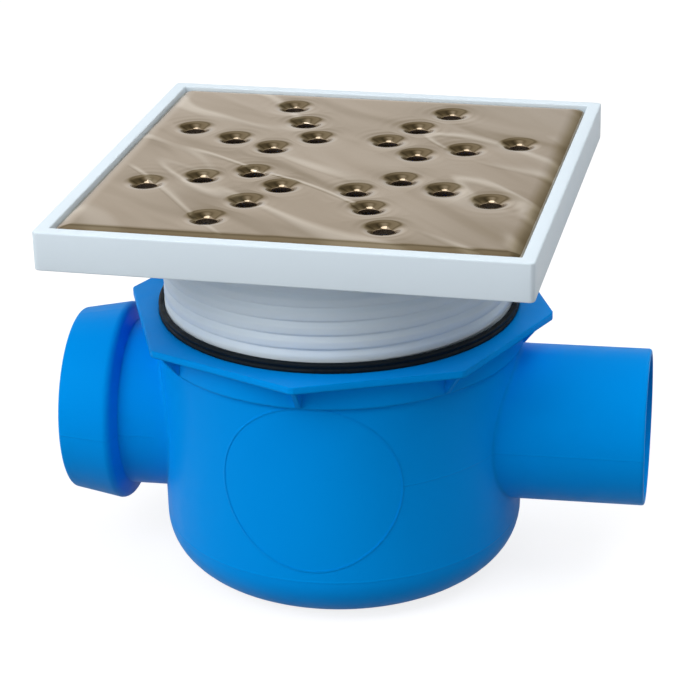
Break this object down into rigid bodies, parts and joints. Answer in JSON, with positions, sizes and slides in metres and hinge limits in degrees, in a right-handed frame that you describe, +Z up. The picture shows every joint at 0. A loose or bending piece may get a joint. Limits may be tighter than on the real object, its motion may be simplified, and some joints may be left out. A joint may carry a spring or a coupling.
{
  "type": "floor gully trap",
  "caption": "Blue floor gully trap with a pipe spigot, a sealed pipe socket, an inner dip elbow and a square frame on a threaded collar that carries a pressed steel grate.",
  "frame": {"origin": "Centre of the cup's flat underside, on the axis of the cup and collar.", "axes": "+Z up along the collar. +X along the outlet spigot, so the inlet socket opens toward -X. -Y is the front, with the ring mark of the closed port."},
  "size_m": [0.186, 0.1544, 0.1325],
  "materials": {
    "blue_plastic": "moulded polypropylene, satin azure blue",
    "elbow_plastic": "moulded polypropylene, satin dark blue",
    "seal_rubber": "black moulded rubber, slight sheen",
    "white_plastic": "moulded white plastic, satin",
    "polished_steel": "polished stainless sheet with soft press ripples"
  },
  "bodies": {
    "gully": {"gully_body": "blue_plastic", "trap_elbow": "elbow_plastic", "inlet_seal": "seal_rubber", "elbow_seal": "seal_rubber"},
    "seal_ring": {"neck_seal": "seal_rubber"},
    "frame": {"frame": "white_plastic", "grate": "polished_steel"}
  },
  "joints": [
    {"name": "collar_turn", "type": "hinge", "parent": "gully", "child": "seal_ring", "pos_m": [0, 0, 0.0865], "axis": [0, 0, 1], "range_deg": [-540, 180]},
    {"name": "collar_rise", "type": "slide", "parent": "seal_ring", "child": "frame", "axis": [0, 0, 1], "range_m": [-0.00675, 0.00225]}
  ],
  "couplings": [
    {"joint": "collar_rise", "follows": "collar_turn", "m_per_rad": 0.0007162}
  ]
}
